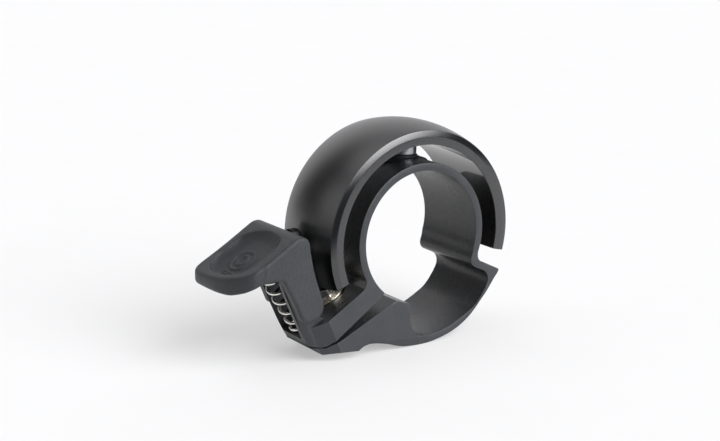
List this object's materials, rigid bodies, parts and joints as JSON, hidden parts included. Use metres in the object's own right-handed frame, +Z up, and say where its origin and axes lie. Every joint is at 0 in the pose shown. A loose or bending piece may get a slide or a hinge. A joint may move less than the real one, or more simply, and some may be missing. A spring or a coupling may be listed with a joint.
{
  "type": "bicycle bell",
  "caption": "Partial-ring handlebar bell with a flexing one-bolt band clamp, spring-loaded thumb lever and stud hammer.",
  "frame": {"origin": "the middle of the underside of the bounding box, where the bell stands on its jaw; the handlebar bore is centred at x 8.2457 mm, z 18.3483 mm", "axes": "+Y along the handlebar, +Z up as the bell stands on its jaw, +X away from the thumb lever"},
  "size_m": [0.0538, 0.0148, 0.037],
  "materials": {
    "clamp_nylon": "matte, moulded",
    "lever_nylon": "matte, fine moulded grain",
    "ring_metal": "satin black anodised, brushed around",
    "bright_steel": "bright plated",
    "screw_steel": "satin",
    "dark_steel": "blackened"
  },
  "bodies": {
    "clamp": {"clamp_body": "clamp_nylon", "bell_ring": "ring_metal", "ring_spacer": "bright_steel", "ring_screw": "screw_steel", "clamp_nut_washer": "bright_steel", "clamp_nut": "bright_steel", "return_spring": "bright_steel"},
    "jaw": {"clamp_jaw": "clamp_nylon"},
    "screw": {"clamp_screw": "screw_steel", "clamp_screw_washer": "screw_steel"},
    "lever": {"thumb_lever": "lever_nylon", "lever_pin": "screw_steel", "hammer": "dark_steel"}
  },
  "joints": [
    {"name": "lever_press", "type": "hinge", "parent": "clamp", "child": "lever", "pos_m": [-0.0135, 0, 0.01469], "axis": [0, -1, 0], "range_deg": [-4.5, 14], "stiffness_Nm_per_rad": 0.02, "deforming": ["return_spring"]},
    {"name": "clamp_screw_travel", "type": "slide", "parent": "clamp", "child": "screw", "axis": [0.5089, 0, -0.8608], "range_m": [0, 0.0022]},
    {"name": "jaw_flex", "type": "hinge", "parent": "clamp", "child": "jaw", "pos_m": [0.01918, 0, 0.0142], "axis": [0, -1, 0], "range_deg": [0, 4]}
  ],
  "couplings": [
    {"joint": "jaw_flex", "follows": "clamp_screw_travel", "rad_per_m": 31.7}
  ]
}
